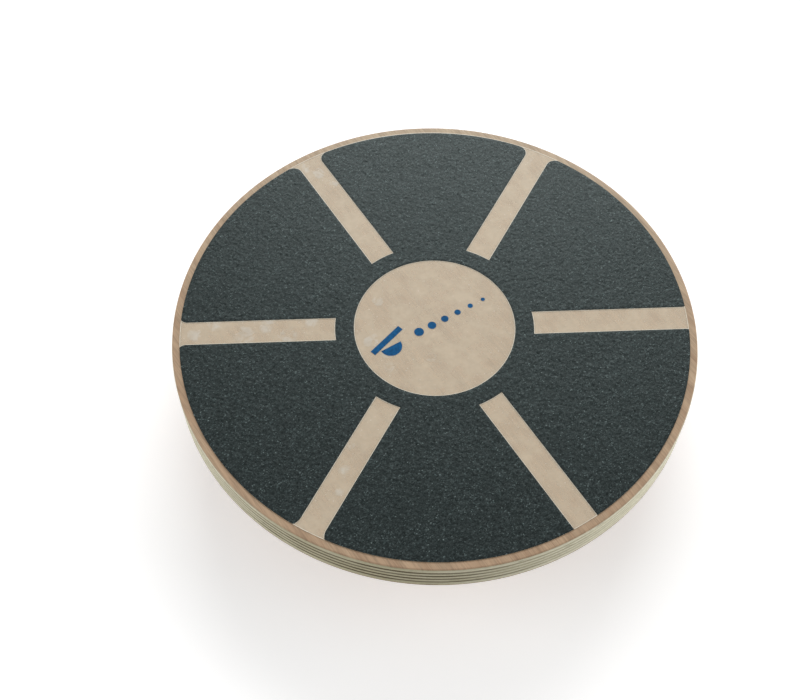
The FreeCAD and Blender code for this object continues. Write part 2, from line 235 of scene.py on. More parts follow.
def arc(centre, radius, start, end, steps):
    """Points (r, z) of an arc in the outline's plane. Angles in degrees from +r."""
    points = []
    for step in range(steps + 1):
        angle = math.radians(start + (end - start) * step / steps)
        points.append((centre[0] + radius * math.cos(angle), centre[1] + radius * math.sin(angle)))
    return points


# Materials

def veneer_material(name):
    """Reddish face veneer with straight grain and fine pores."""
    m = Material(name, roughness=0.42, Specular_IOR_Level=0.4)
    m.shader.inputs["Specular Tint"].default_value = (0.6, 1, 0.95, 1)
    broad = m.noise(1.0, detail=5, rough=0.65, at=m.mapped(scale=(9, 150, 60), turn=-FACE_GRAIN),
                    distort=0.3)
    fine = m.noise(4.5, detail=5, rough=0.7, at=m.mapped(scale=(12, 190, 60), turn=-FACE_GRAIN))
    pores = m.noise(9.0, detail=2, at=m.mapped(scale=(5, 160, 60), turn=-FACE_GRAIN))
    tone = m.ramp(broad, [(0.25, srgb("98785e")), (0.45, srgb("a5886e")), (0.6, srgb("ae9277")),
                          (0.8, srgb("b8a085"))])
    streaks = m.ramp(fine, [(0.38, 0.76), (0.5, 1.0), (0.62, 1.14)])
    colour = m.mix(0.85, tone, streaks, "MULTIPLY")
    dark_pores = m.ramp(pores, [(0.28, 1.0), (0.38, 0.0)])
    colour = m.mix(m.math("MULTIPLY", dark_pores, 0.4), colour, srgb("6d4a37"))
    # The steep cut edge, which is the bottom veneer's rounded side, is darkened: partly the edge's own
    # darker wood, partly painted shade at the foot of the rim.
    up = m.node("ShaderNodeSeparateXYZ", {0: m.node("ShaderNodeNewGeometry").outputs["Normal"]})
    edge_and_shade = m.ramp(m.math("ABSOLUTE", up.outputs["Z"]), [(0.15, 0.7), (0.35, 0.0)])
    colour = m.mix(edge_and_shade, colour, srgb("6f4f3a"))
    rough = m.spread(fine, 0.3, 0.7, 0.5, 0.34)
    return m.finish(colour, rough, m.bump(fine, 0.2 * MM, 0.25))


def ply_material(name, along, across, grain, sharp, seed):
    """The sanded edge of one ply, with its shades along the grain and across it, which also paint shade:
    the rim is darker where it faces front and back, and paler at the sides.
    """
    m = Material(name, roughness=0.68, Specular_IOR_Level=0.3)
    normal = m.node("ShaderNodeNewGeometry").outputs["Normal"]
    way = m.node("ShaderNodeCombineXYZ", {0: math.cos(grain), 1: math.sin(grain)}).outputs[0]
    # Painted shade: which way the rim faces against the grain sets the mix of the two shades, so the
    # rim's front and back come out darker and its sides paler.
    facing = m.node("ShaderNodeVectorMath", {0: normal, 1: way}, operation="DOT_PRODUCT")
    end_grain_and_shade = m.math("POWER", m.math("ABSOLUTE", facing.outputs["Value"]), sharp)
    shift = (0.37 * seed, 0.21 * seed, 0.13 * seed)
    streak = m.noise(1.0, detail=5, rough=0.6,
                     at=m.mapped(scale=(45, 45, 1400), shift=shift), distort=0.4)
    patch = m.noise(22, detail=2, at=m.mapped(shift=shift))
    fleck = m.noise(420, detail=3, rough=0.7, at=m.mapped(scale=(1, 1, 2.5), shift=shift))
    shade = m.math("ADD", end_grain_and_shade, m.spread(patch, 0.3, 0.7, -0.16, 0.16), clamp=True)
    colour = m.mix(shade, along, across)
    colour = m.mix(0.6, colour, m.ramp(streak, [(0.3, 0.7), (0.52, 1.0), (0.75, 1.1)]), "MULTIPLY")
    colour = m.mix(0.5, colour, m.ramp(fleck, [(0.34, 0.66), (0.5, 1.0)]), "MULTIPLY")
    # Painted shade: the voids' shallow dents are darkened in colour towards 584630.
    void = m.node("ShaderNodeAttribute", attribute_name="void").outputs["Fac"]
    colour = m.mix(m.math("MULTIPLY", void, 0.65), colour, srgb("584630"))
    rough = m.spread(fleck, 0.3, 0.7, 0.8, 0.62)
    height = m.math("ADD", m.math("MULTIPLY", fleck, 0.6), m.math("MULTIPLY", streak, 0.5))
    return m.finish(colour, rough, m.bump(height, 0.3 * MM, 0.55))


def film_material():
    """Clear satin film: it whitens the wood a little, and more where air is caught under it."""
    m = Material("clear_film", roughness=0.35, Specular_IOR_Level=0.35)
    caught = m.node("ShaderNodeAttribute", attribute_name="air").outputs["Fac"]
    shape = m.noise(130, detail=3, rough=0.6, distort=0.8)
    air = m.ramp(m.math("MULTIPLY", shape, m.spread(caught, 0.0, 1.0, 0.55, 1.25)),
                 [(0.48, 0.0), (0.74, 1.0)])
    spot = m.ramp(m.voronoi(330), [(0.08, 1.0), (0.2, 0.0)])
    spot = m.math("MULTIPLY", spot, m.ramp(m.noise(120, detail=1), [(0.5, 0.0), (0.62, 1.0)]))
    grain = m.noise(1100, detail=2, rough=0.6)
    mottle = m.noise(75, detail=4, rough=0.55)
    alpha = m.math("ADD", m.spread(mottle, 0.3, 0.7, 0.25, 0.43), m.math("MULTIPLY", air, 0.16))
    alpha = m.math("ADD", alpha, m.math("MULTIPLY", spot, 0.2), clamp=True)
    colour = m.mix(air, srgb("e3d5bd"), srgb("dfd9cb"))
    colour = m.mix(spot, colour, srgb("e0d6c6"))
    height = m.math("ADD", m.math("MULTIPLY", grain, 0.3), m.math("ADD", mottle, air))
    return m.finish(colour, m.spread(grain, 0.3, 0.7, 0.3, 0.45),
                    m.bump(height, 0.1 * MM, 0.35), alpha)


def grit_material():
    """Black mineral grit bound in resin, with a few pale grains that catch the light."""
    m = Material("grit", roughness=0.4, Specular_IOR_Level=0.22)
    m.shader.inputs["Specular Tint"].default_value = (0.82, 1, 0.98, 1)
    split = m.node("ShaderNodeSeparateColor", {"Color": m.voronoi(1500, output="Color")})
    pick, gloss = split.outputs[0], split.outputs[1]
    lump = m.noise(620, detail=3, rough=0.65)
    cloud = m.noise(24, detail=3, rough=0.6)
    base = m.ramp(pick, [(0.0, srgb("131919")), (0.5, srgb("1e2424")), (0.88, srgb("2d3434")),
                         (0.97, srgb("3b4646")), (1.0, srgb("5d6867"))])
    base = m.mix(0.9, base, m.ramp(lump, [(0.3, 0.35), (0.5, 0.98), (0.7, 1.65)]), "MULTIPLY")
    base = m.mix(0.5, base, m.ramp(cloud, [(0.3, 0.85), (0.7, 1.15)]), "MULTIPLY")
    rough = m.spread(gloss, 0.0, 1.0, 0.26, 0.46)
    height = m.math("ADD", m.math("MULTIPLY", m.voronoi(1500), -1.0), lump)
    return m.finish(base, rough, m.bump(height, 0.3 * MM, 0.3))


def edge_bead_material():
    """The film's milky cut edge."""
    m = Material("film_cut_edge", roughness=0.4)
    tone = m.noise(160, detail=3, rough=0.6)
    return m.finish(m.ramp(tone, [(0.3, srgb("bfb29c")), (0.6, srgb("d8d0bf"))]),
                    m.spread(tone, 0.3, 0.7, 0.35, 0.55), m.bump(tone, 0.08 * MM, 0.4))


def print_material():
    """Blue printed ink, a little uneven."""
    m = Material("blue_print", roughness=0.45, Specular_IOR_Level=0.1)
    tone = m.noise(520, detail=3, rough=0.6)
    cloud = m.noise(60, detail=2)
    colour = m.ramp(tone, [(0.32, srgb("014069")), (0.5, srgb("014b79")), (0.68, srgb("065588"))])
    colour = m.mix(0.4, colour, m.ramp(cloud, [(0.3, 0.85), (0.7, 1.15)]), "MULTIPLY")
    return m.finish(colour, m.spread(tone, 0.3, 0.7, 0.38, 0.52), m.bump(tone, 0.05 * MM, 0.4))


def moulding_material():
    """Black moulded plastic with a fine spark-eroded grain."""
    m = Material("moulding", roughness=0.5)
    grain = m.noise(1500, detail=2, rough=0.6)
    cloud = m.noise(30, detail=3)
    scuff = m.noise(1.0, detail=4, rough=0.7, at=m.mapped(scale=(60, 60, 260)))
    colour = m.ramp(cloud, [(0.3, srgb("1b1c1e")), (0.7, srgb("26282a"))])
    marks = m.ramp(scuff, [(0.62, 0.0), (0.78, 1.0)])
    colour = m.mix(m.math("MULTIPLY", marks, 0.25), colour, srgb("4c4e50"))
    rough = m.math("ADD", m.spread(grain, 0.3, 0.7, 0.42, 0.56), m.math("MULTIPLY", marks, 0.12))
    return m.finish(colour, rough, m.bump(grain, 0.12 * MM, 0.5))


def rubber_material():
    """Dark grey rubber, dusty where it meets the floor."""
    m = Material("pad_rubber", roughness=0.8)
    grain = m.noise(900, detail=3, rough=0.6)
    dust = m.noise(55, detail=4, rough=0.65)
    colour = m.ramp(grain, [(0.3, srgb("242424")), (0.7, srgb("333332"))])
    colour = m.mix(m.ramp(dust, [(0.5, 0.0), (0.8, 0.35)]), colour, srgb("6f6b64"))
    return m.finish(colour, m.spread(dust, 0.3, 0.7, 0.72, 0.9), m.bump(grain, 0.15 * MM, 0.5))


def steel_material():
    """Zinc-plated steel with fine turning marks."""
    m = Material("screw_steel", roughness=0.35, Metallic=1.0)
    tone = m.noise(700, detail=3)
    colour = m.ramp(tone, [(0.3, srgb("9a9c9e")), (0.7, srgb("c4c6c6"))])
    return m.finish(colour, m.spread(tone, 0.3, 0.7, 0.28, 0.42), m.bump(tone, 0.05 * MM, 0.4))


def floor_material():
    """A pale table, lit a little from below."""
    m = Material("floor", roughness=0.7, Specular_IOR_Level=0.2, Emission_Strength=FLOOR_GLOW)
    m.shader.inputs["Emission Color"].default_value = (1, 1, 1, 1)
    return m.finish(m.ramp(m.noise(3, detail=2), [(0.3, 0.87), (0.7, 0.89)]))


# The plywood deck

RIM_SEGMENTS = 1024
GLUE_SINK = 0.16 * MM
RIM_DEPTH = 4 * MM
ROW_HEIGHT = 0.4 * MM
VOID_WIDTH = 0.16


def rim_radius(z):
    """The deck's radius at a height. Its top corner is rounded over, into the first core ply."""
    rise = max(0.0, z - DECK_TOP + ROUND_OVER)
    return DECK_RADIUS - ROUND_OVER + math.sqrt(max(0.0, ROUND_OVER ** 2 - rise ** 2))


def deck_ply(node, material, voids):
    """A core ply as a lathe. Its rim is a little crowned, sinks at the glue lines and has voids.

    A void is its middle in degrees, its length in mm, its height as a share of the ply's, and
    its depth in mm.
    """
    low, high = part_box(node)[0].z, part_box(node)[1].z
    rows = max(5, round((high - low) / ROW_HEIGHT))
    outline = [(0, low), (DECK_RADIUS / 2, low), (DECK_RADIUS - RIM_DEPTH, low)]
    for row in range(rows + 1):
        share = row / rows
        crown = GLUE_SINK * (1 - abs(2 * share - 1) ** 5)
        z = low + (high - low) * share
        outline.append((rim_radius(z) - GLUE_SINK + crown, z))
    outline += [(DECK_RADIUS - RIM_DEPTH, high), (DECK_RADIUS / 2, high), (0, high)]
    seed = 10.0 * CORE_NODES.index(node)

    def saw_marks(r, z, angle):
        """Shallow uneven marks across the rim, about 80 microns deep."""
        if r < DECK_RADIUS - MM:
            return 0.0
        place = Vector((math.cos(angle) * 16, math.sin(angle) * 16, z / (3 * MM) + seed))
        return (noise.noise(place) - 0.4) * 0.08 * MM
    mesh = lathe(outline, segments=RIM_SEGMENTS, ripple=saw_marks)
    depth = mesh.attributes.new("void", "FLOAT", "POINT")
    for vertex, dent in zip(mesh.vertices, depth.data):
        place = vertex.co
        if math.hypot(place.x, place.y) < DECK_RADIUS - MM:
            continue
        angle = math.degrees(math.atan2(place.y, place.x)) % 360
        for middle, length, share, deep in voids:
            gap = (angle - middle + 180) % 360 - 180
            along = gap * math.pi / 180 * DECK_RADIUS / (length * MM / 2)
            across = (place.z - low - share * (high - low)) / (VOID_WIDTH * (high - low))
            inside = 1 - math.sqrt(along * along + across * across)
            if inside > 0:
                dent.value = max(dent.value, min(1.0, 2.5 * inside))
                pull = 1 - deep * MM * min(1.0, 2 * inside) / DECK_RADIUS
                vertex.co = Vector((place.x * pull, place.y * pull, place.z))
                break
    return new_piece(node + "_wood", mesh, [material], node, smooth=50)


def face_ply(node, material, top):
    """A face veneer with its outer corner rounded over, more on the top face."""
    low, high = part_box(node)[0].z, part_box(node)[1].z
    rounding = ROUND_OVER if top else 0.45 * MM
    start = math.degrees(math.asin(max(0.0, 1 - (high - low) / rounding)))
    corner = arc((DECK_RADIUS - rounding, high - rounding), rounding, start, 90, 8)
    outline = [(0, low), (DECK_RADIUS / 2, low), (DECK_RADIUS - 3 * MM, low)]
    outline += corner + [(DECK_RADIUS - 6 * MM, high), (DECK_RADIUS / 2, high), (0, high)]
    if not top:
        outline = [(r, low + high - z) for r, z in reversed(outline)]
    mesh = lathe(outline, segments=RIM_SEGMENTS)
    return new_piece(node + "_wood", mesh, [material], node, smooth=50)


def build_deck():
    """Two face veneers and nine core plies whose grain crosses from one to the next."""
    veneer = veneer_material("face_veneer")
    face_ply("face_veneer_top", veneer, True)
    face_ply("face_veneer_bottom", veneer, False)
    draw = random.Random(5)
    for index, node in enumerate(CORE_NODES):
        crossed = index % 2 == 1
        # The pairs of shades below are partly grain and partly painted shade: both kinds of ply turn
        # darker where the rim faces front and back, and paler at the sides.
        if crossed:
            look = srgb("c0bb9f"), srgb("4d4127"), DARK_GRAIN, 4.0
        else:
            look = srgb("a8a285"), srgb("dbd7c2"), PALE_GRAIN, 1.35
        material = ply_material(node + "_edge", *look, index + 1)
        voids = []
        for _ in range(2):
            voids.append((draw.uniform(0, 360), draw.uniform(4, 13), draw.uniform(0.3, 0.7),
                          draw.uniform(0.2, 0.5)))
        if index == len(CORE_NODES) - 1:
            voids += [(302, 10, 0.6, 0.4), (284, 4, 0.4, 0.3)]
        deck_ply(node, material, voids)


# The film and the grit print. Steps are the points along each stretch of the print's edge.

CORNER_STEPS = 14
END_STEPS = 16
RIM_STEPS = 150
WINDOW_STEPS = 320
EDGE_PITCH = 1.2 * MM
GRIT_PITCH = 1.15 * MM
ROW_SHARE = 0.866
GRAIN_DEPTH = 0.22 * MM
EDGE_DROP = 0.2 * MM
FILM_EDGE = 0.5 * MM
LINE_WIDTH = 0.5 * MM


def corner_centre(spoke):
    """How far along and beside a spoke the centre of its outer corner's arc is."""
    side = SPOKE_WIDTH / 2 + SPOKE_CORNERS[spoke]
    return math.sqrt((PRINT_RADIUS - SPOKE_CORNERS[spoke]) ** 2 - side ** 2), side


def spoke_notch(spoke):
    """One side of a spoke, from the print's outer edge to the spoke's inner end, and that end."""
    half = SPOKE_WIDTH / 2
    bend, side = corner_centre(spoke)
    touch = math.degrees(math.atan2(side, bend))
    flank = arc((bend, side), SPOKE_CORNERS[spoke], touch, -90, CORNER_STEPS)
    inner = math.sqrt(SPOKE_START ** 2 - half ** 2)
    run = int((bend - inner) / EDGE_PITCH)
    flank += [(bend + (inner - bend) * step / run, half) for step in range(1, run + 1)]
    end = []
    for step in range(1, END_STEPS):
        y = SPOKE_WIDTH * step / END_STEPS - half
        end.append((math.sqrt(SPOKE_START ** 2 - y * y), y))
    return flank, end


def print_loops():
    """The grit's outer loop, which runs in and out along each clear spoke, and the window."""
    loop = []
    for spoke in range(SPOKES):
        flank, end = spoke_notch(spoke)
        outline = [(x, -y) for x, y in flank] + end + flank[::-1]
        after = flank_turn((spoke + 1) % SPOKES)
        start, stop = flank_turn(spoke), TURN / SPOKES - after
        for step in range(1, RIM_STEPS):
            angle = start + (stop - start) * step / RIM_STEPS
            outline.append((PRINT_RADIUS * math.cos(angle), PRINT_RADIUS * math.sin(angle)))
        cosine, sine = math.cos(TURN * spoke / SPOKES), math.sin(TURN * spoke / SPOKES)
        for x, y in outline:
            place = Vector((x * cosine - y * sine, x * sine + y * cosine - PRINT_SHIFT))
            if place.length > FILM_RADIUS:
                place *= FILM_RADIUS / place.length
            loop.append(place)
    window = []
    for step in range(WINDOW_STEPS):
        angle = TURN * step / WINDOW_STEPS
        window.append(Vector((WINDOW_RADIUS * math.cos(angle),
                              WINDOW_RADIUS * math.sin(angle) - PRINT_SHIFT)))
    return loop, window


def flank_turn(spoke):
    """The angle from a spoke's middle to where its corner meets the print's outer edge."""
    bend, side = corner_centre(spoke)
    return math.atan2(side, bend)


def inside_grit(x, y, margin):
    """True if a point is in the grit, at least margin from its edge."""
    out = math.hypot(x, y + PRINT_SHIFT)
    if math.hypot(x, y) > FILM_RADIUS - margin or out > PRINT_RADIUS - margin:
        return False
    if out < WINDOW_RADIUS + margin:
        return False
    sector = TURN / SPOKES
    turn = math.atan2(y + PRINT_SHIFT, x) + sector / 2
    spoke = int(turn // sector) % SPOKES
    angle = turn % sector - sector / 2
    along, across = out * math.cos(angle), abs(out * math.sin(angle))
    bend, side = corner_centre(spoke)
    if out < SPOKE_START - margin or across > side + margin:
        return True
    if across < SPOKE_WIDTH / 2 + margin:
        return False
    corner = SPOKE_CORNERS[spoke]
    return along < bend or math.hypot(along - bend, across - side) < corner - margin


def net(loops, extra):
    """Triangles over the grit, from its outer loop, the window and more points inside."""
    points = [p for loop in loops for p in loop] + extra
    edges = []
    first = 0
    for loop in loops:
        edges += [(first + i, first + (i + 1) % len(loop)) for i in range(len(loop))]
        first += len(loop)
    inside_loops = 1
    verts, _, faces, sources, _, _ = geometry.delaunay_2d_cdt(points, edges, [], inside_loops, 1e-7)
    place = {source: index for index, group in enumerate(sources) for source in group}
    rim = [place[i] for i in range(first)]
    window = set(rim[len(loops[0]):])
    return verts, [tuple(face) for face in faces if not window.issuperset(face)], rim


def build_grit(loops):
    """The grit coat: a dense net of points, with each grain at its own height."""
    pitch = GRIT_PITCH
    draw = random.Random(11)
    extra = []
    rows = int(2 * FILM_RADIUS / (pitch * ROW_SHARE)) + 2
    columns = int(2 * FILM_RADIUS / pitch) + 2
    for row in range(rows):
        for column in range(columns):
            x = (column + 0.5 * (row % 2) + draw.uniform(-0.3, 0.3)) * pitch - FILM_RADIUS
            y = (row * ROW_SHARE + draw.uniform(-0.3, 0.3)) * pitch - FILM_RADIUS
            if inside_grit(x, y, pitch * 0.7):
                extra.append(Vector((x, y)))
    top, top_faces, rim = net(loops, extra)
    bottom, bottom_faces, low_rim = net(loops, [])
    on_rim = set(rim)
    verts = []
    for index, point in enumerate(top):
        drop = EDGE_DROP if index in on_rim else GRAIN_DEPTH * draw.random() ** 1.5
        verts.append((point.x, point.y, GRIT_TOP - drop))
    base = len(verts)
    verts += [(point.x, point.y, FILM_TOP) for point in bottom]
    faces = list(top_faces)
    faces += [tuple(base + i for i in reversed(face)) for face in bottom_faces]
    first = 0
    for loop in loops:
        for step in range(len(loop)):
            here, there = first + step, first + (step + 1) % len(loop)
            faces.append((rim[here], base + low_rim[here], base + low_rim[there], rim[there]))
        first += len(loop)
    mesh = bpy.data.meshes.new("grit")
    mesh.from_pydata(verts, [], faces)
    fix_normals(mesh)
    new_piece("grit_coat_grains", mesh, [grit_material()], "grit_coat", smooth=60)


def fix_normals(mesh):
    """Turn every face of a closed mesh outwards."""
    work = bmesh.new()
    work.from_mesh(mesh)
    bmesh.ops.recalc_face_normals(work, faces=work.faces)
    work.to_mesh(mesh)
    work.free()


# Where air is caught under the film: distance from the middle, angle in degrees, radius, in mm
AIR = [(112, 183, 11), (94, 177, 8), (145, 182, 12), (168, 178, 9), (183, 181, 8), (128, 179, 9),
       (178, 236, 7), (140, 240, 6), (122, 237, 6), (158, 242, 5), (176, 120, 8), (160, 118, 6),
       (187, 122, 7), (48, 152, 7), (50, 196, 9), (44, 215, 8), (52, 226, 7), (30, 262, 6),
       (184, 61, 5), (181, 2, 4), (150, 303, 3)]


def build_film():
    """The clear film: a thin disc with low blisters and a milky cut edge."""
    low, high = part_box("clear_film")[0].z + 0.02 * MM, FILM_TOP
    flat = FILM_RADIUS - FILM_EDGE
    outline = [(0, low), (flat, low), (FILM_RADIUS, low), (FILM_RADIUS, high), (flat, high)]
    rings = 120
    outline += [(flat * (1 - ring / rings), high) for ring in range(1, rings)]
    outline.append((0, high))
    mesh = lathe(outline, segments=480)
    spots = [(Vector((math.cos(math.radians(turn)), math.sin(math.radians(turn)))) * out * MM,
              size * MM) for out, turn, size in AIR]
    air = mesh.attributes.new("air", "FLOAT", "POINT")
    for vertex, caught in zip(mesh.vertices, air.data):
        x, y, z = vertex.co
        if z < high - 0.01 * MM or math.hypot(x, y) > flat - FILM_EDGE:
            continue
        near = max(1 - (Vector((x, y)) - middle).length / size for middle, size in spots)
        caught.value = min(1.0, max(0.0, 2 * near))
        swell = noise.noise(Vector((x * 90, y * 90, 4.2))) - 0.1
        vertex.co.z = high + max(0.0, swell) * (0.02 + 0.03 * caught.value) * MM
    film = new_piece("clear_film_sheet", mesh, [film_material(), edge_bead_material()],
                     "clear_film", smooth=40)
    for face in film.data.polygons:
        if math.hypot(face.center.x, face.center.y) > flat + 0.1 * FILM_EDGE:
            face.material_index = 1


def build_window_lines(loops):
    """The pale line of bare film that follows the print's edge."""
    level = FILM_TOP + 0.06 * MM
    verts, faces = [], []
    for number, loop in enumerate(loops):
        inward = 1 if number == 0 else -1
        count = len(loop)
        base = len(verts)
        for index, point in enumerate(loop):
            way = loop[(index + 1) % count] - loop[index - 1]
            side = Vector((way.y, -way.x)).normalized() * inward * LINE_WIDTH
            free = point + side
            if free.length > FILM_RADIUS - 0.2 * MM:
                free = point
            verts += [(point.x, point.y, level), (free.x, free.y, FILM_TOP + 0.01 * MM),
                      (point.x, point.y, FILM_TOP)]
        wide = [(Vector(verts[here + 1]) - Vector(verts[here])).length > LINE_WIDTH / 2
                for here in range(base, base + 3 * count, 3)]
        drawn = [wide[index] and wide[(index + 1) % count] for index in range(count)]
        for index in range(count):
            here, there = base + 3 * index, base + 3 * ((index + 1) % count)
            if drawn[index]:
                faces += [(here, there, there + 1, here + 1),
                          (here + 1, there + 1, there + 2, here + 2),
                          (here + 2, there + 2, there, here)]
            if drawn[index] != drawn[index - 1]:
                faces.append((here, here + 1, here + 2))
    mesh = bpy.data.meshes.new("lines")
    mesh.from_pydata(verts, [], faces)
    clean_loose(mesh)
    line = new_piece("print_edge_line", mesh, [edge_bead_material()], smooth=None)
    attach(line, "root")


def clean_loose(mesh):
    """Drop vertices that no face uses, and turn the faces outwards."""
    work = bmesh.new()
    work.from_mesh(mesh)
    loose = [vertex for vertex in work.verts if not vertex.link_faces]
    bmesh.ops.delete(work, geom=loose, context="VERTS")
    bmesh.ops.recalc_face_normals(work, faces=work.faces)
    work.to_mesh(mesh)
    work.free()


# The dome, its clamp ring and the rubber pad. Their outlines are on spheres about one centre.

CURVE_CENTRE = 80 * MM
DOME_RADIUS = 81.4 * MM
CAVITY_RADIUS = 77.4 * MM
SEAT_SPHERE = 73 * MM
RECESS_SPHERE = 77 * MM
RECESS_RADIUS = 36 * MM
SEAT_RADIUS = 42 * MM
HUB_RADIUS = 11 * MM
HUB_BORE = 6 * MM
RING_RIB = (58 * MM, 55.4 * MM)
RIB_ARMS = 8
RIB_THICK = 3 * MM
RIB_SPHERE = 79.4 * MM
RIB_OVER_SEAT = 75 * MM
BORE_TOP = 17 * MM
WEB_TOP = 20 * MM
LIP_THICK = 2.5 * MM
PAD_SPHERE = 82 * MM
PAD_RADIUS = 35.8 * MM
PAD_GAP = 0.1 * MM
STEM_TOP = 16 * MM
CLAMP_BORE = 78.5 * MM
CLAMP_REBATE = 82.1 * MM
CLAMP_ROUND = 1.5 * MM
SCREW_CIRCLE = 84.5 * MM
HOLE_RADIUS = 2.3 * MM
BORE_RADIUS = 4.8 * MM
BORE_DEPTH = 3 * MM
DOME_GROOVES = (46 * MM, 52 * MM, 58 * MM)
PAD_GROOVES = (22 * MM, 26 * MM, 30 * MM)
FOOT_GROOVES = (8.5 * MM, 13 * MM)
FINE_SEGMENTS = 320
WELD = 0.001 * MM


def sphere_arc(radius, start, end, steps, grooves=(), depth=0.0, width=MM):
    """Points on the lower half of a sphere from one distance off the axis to another."""
    points = []
    for step in range(steps + 1):
        r = start + (end - start) * step / steps
        sink = 0.0
        for groove in grooves:
            sink = max(sink, depth * max(0.0, 1 - ((r - groove) / width) ** 2))
        ball = radius - sink
        scale = ball / radius
        points.append((r * scale, CURVE_CENTRE - math.sqrt(radius * radius - r * r) * scale))
    return points


def union(piece, tools, operation="UNION"):
    """Join closed meshes to a piece, or cut them from it, then weld what falls together."""
    for tool in tools:
        modifier = piece.modifiers.new("join", "BOOLEAN")
        modifier.operation = operation
        modifier.solver = "MANIFOLD"
        modifier.object = tool
    bpy.context.view_layer.update()
    done = bpy.data.meshes.new_from_object(piece.evaluated_get(
        bpy.context.evaluated_depsgraph_get()))
    piece.modifiers.clear()
    work = bmesh.new()
    work.from_mesh(done)
    bmesh.ops.remove_doubles(work, verts=work.verts, dist=WELD)
    bmesh.ops.dissolve_degenerate(work, edges=work.edges, dist=WELD)
    work.to_mesh(done)
    work.free()
    piece.data = done
    for tool in tools:
        bpy.data.objects.remove(tool)
    return piece


def plate(outline, thickness, turn):
    """A flat plate with an (r, z) outline, standing on a line at some angle about the axis."""
    along = Vector((math.cos(turn), math.sin(turn), 0))
    across = Vector((-along.y, along.x, 0)) * thickness / 2
    mesh = bpy.data.meshes.new("plate")
    count = len(outline)
    verts = []
    for side in (-1, 1):
        verts += [along * r + across * side + Vector((0, 0, z)) for r, z in outline]
    faces = [tuple(range(count)), tuple(range(2 * count - 1, count - 1, -1))]
    for step in range(count):
        after = (step + 1) % count
        faces.append((step, step + count, after + count, after))
    mesh.from_pydata(verts, [], faces)
    fix_normals(mesh)
    piece = bpy.data.objects.new("plate", mesh)
    scene.collection.objects.link(piece)
    return piece


def build_dome(material):
    """The hollow dome: a grooved wall with a lip, and a ring, ribs and a hub inside."""
    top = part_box("dome_shell")[1].z
    lip = reach("dome_shell")
    low = top - LIP_THICK
    side = math.sqrt(DOME_RADIUS ** 2 - (CURVE_CENTRE - low) ** 2)
    mouth = math.sqrt(CAVITY_RADIUS ** 2 - (CURVE_CENTRE - top) ** 2)
    soft = 0.4 * MM
    outline = [(0, BORE_TOP), (HUB_BORE, BORE_TOP)]
    outline += sphere_arc(RECESS_SPHERE, HUB_BORE, RECESS_RADIUS, 16)
    outline += sphere_arc(DOME_RADIUS, RECESS_RADIUS, RECESS_RADIUS + soft, 2)
    outline += sphere_arc(DOME_RADIUS, RECESS_RADIUS + 1.5 * soft, side, 170,
                          DOME_GROOVES, 0.45 * MM, 0.8 * MM)
    outline += [(lip - soft, low), (lip, low + soft), (lip, top - soft), (lip - soft, top)]
    outline += sphere_arc(CAVITY_RADIUS, mouth, RING_RIB[0], 30)
    outline += [(RING_RIB[0], top - soft), (RING_RIB[1], top - soft)]
    outline += sphere_arc(CAVITY_RADIUS, RING_RIB[1], SEAT_RADIUS, 10)
    outline += sphere_arc(SEAT_SPHERE, SEAT_RADIUS, HUB_RADIUS, 12)
    outline += [(HUB_RADIUS, top - soft), (HUB_BORE, top - soft), (HUB_BORE, WEB_TOP), (0, WEB_TOP)]
    dome = new_piece("dome_shell_moulding", lathe(outline, segments=FINE_SEGMENTS), [material],
                     "dome_shell", smooth=None)
    inner, outer = 8 * MM, 76 * MM
    rib = [(inner, top - soft), (inner, CURVE_CENTRE - RIB_OVER_SEAT)]
    rib += sphere_arc(RIB_OVER_SEAT, 10 * MM, SEAT_RADIUS - 3 * MM, 8)
    rib += sphere_arc(RIB_SPHERE, SEAT_RADIUS + 2 * MM, outer, 14)
    rib.append((outer, top - soft))
    arms = [TURN * (number + 0.5) / RIB_ARMS for number in range(RIB_ARMS)]
    union(dome, [plate(rib, RIB_THICK, turn) for turn in arms])
    smooth_by_angle(dome, 40)


def smooth_by_angle(piece, angle):
    """Shade a piece smooth, and keep edges sharper than an angle."""
    piece.data.shade_smooth()
    piece.data.set_sharp_from_angle(angle=math.radians(angle))


def build_clamp_ring(material):
    """The ring that holds the dome's lip, with six counterbored screw holes."""
    low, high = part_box("clamp_ring")[0].z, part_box("clamp_ring")[1].z
    outside = reach("clamp_ring")
    soft = 0.3 * MM
    outline = [(CLAMP_BORE, low + soft), (CLAMP_BORE, high - LIP_THICK)]
    outline += [(CLAMP_REBATE, high - LIP_THICK), (CLAMP_REBATE, high)]
    outline += [(outside - soft, high), (outside, high - soft)]
    outline += arc((outside - CLAMP_ROUND, low + CLAMP_ROUND), CLAMP_ROUND, 0, -90, 8)
    outline.append((CLAMP_BORE + soft, low))
    ring = new_piece("clamp_ring_moulding", lathe(outline, segments=480, loop=True), [material],
                     "clamp_ring", smooth=None)
    tools = []
    chamfer = 0.4 * MM
    drill = [(0, low - 2 * MM), (BORE_RADIUS + chamfer, low - 2 * MM), (BORE_RADIUS + chamfer, low),
             (BORE_RADIUS, low + chamfer), (BORE_RADIUS, low + BORE_DEPTH),
             (HOLE_RADIUS, low + BORE_DEPTH), (HOLE_RADIUS, high + MM), (0, high + MM)]
    for number in range(SCREWS):
        turn = TURN * number / SCREWS
        mesh = lathe(drill, segments=48)
        mesh.transform(Matrix.Translation((SCREW_CIRCLE * math.cos(turn),
                                           SCREW_CIRCLE * math.sin(turn), 0)))
        tool = bpy.data.objects.new("drill", mesh)
        scene.collection.objects.link(tool)
        tools.append(tool)
    union(ring, tools, "DIFFERENCE")
    smooth_by_angle(ring, 35)


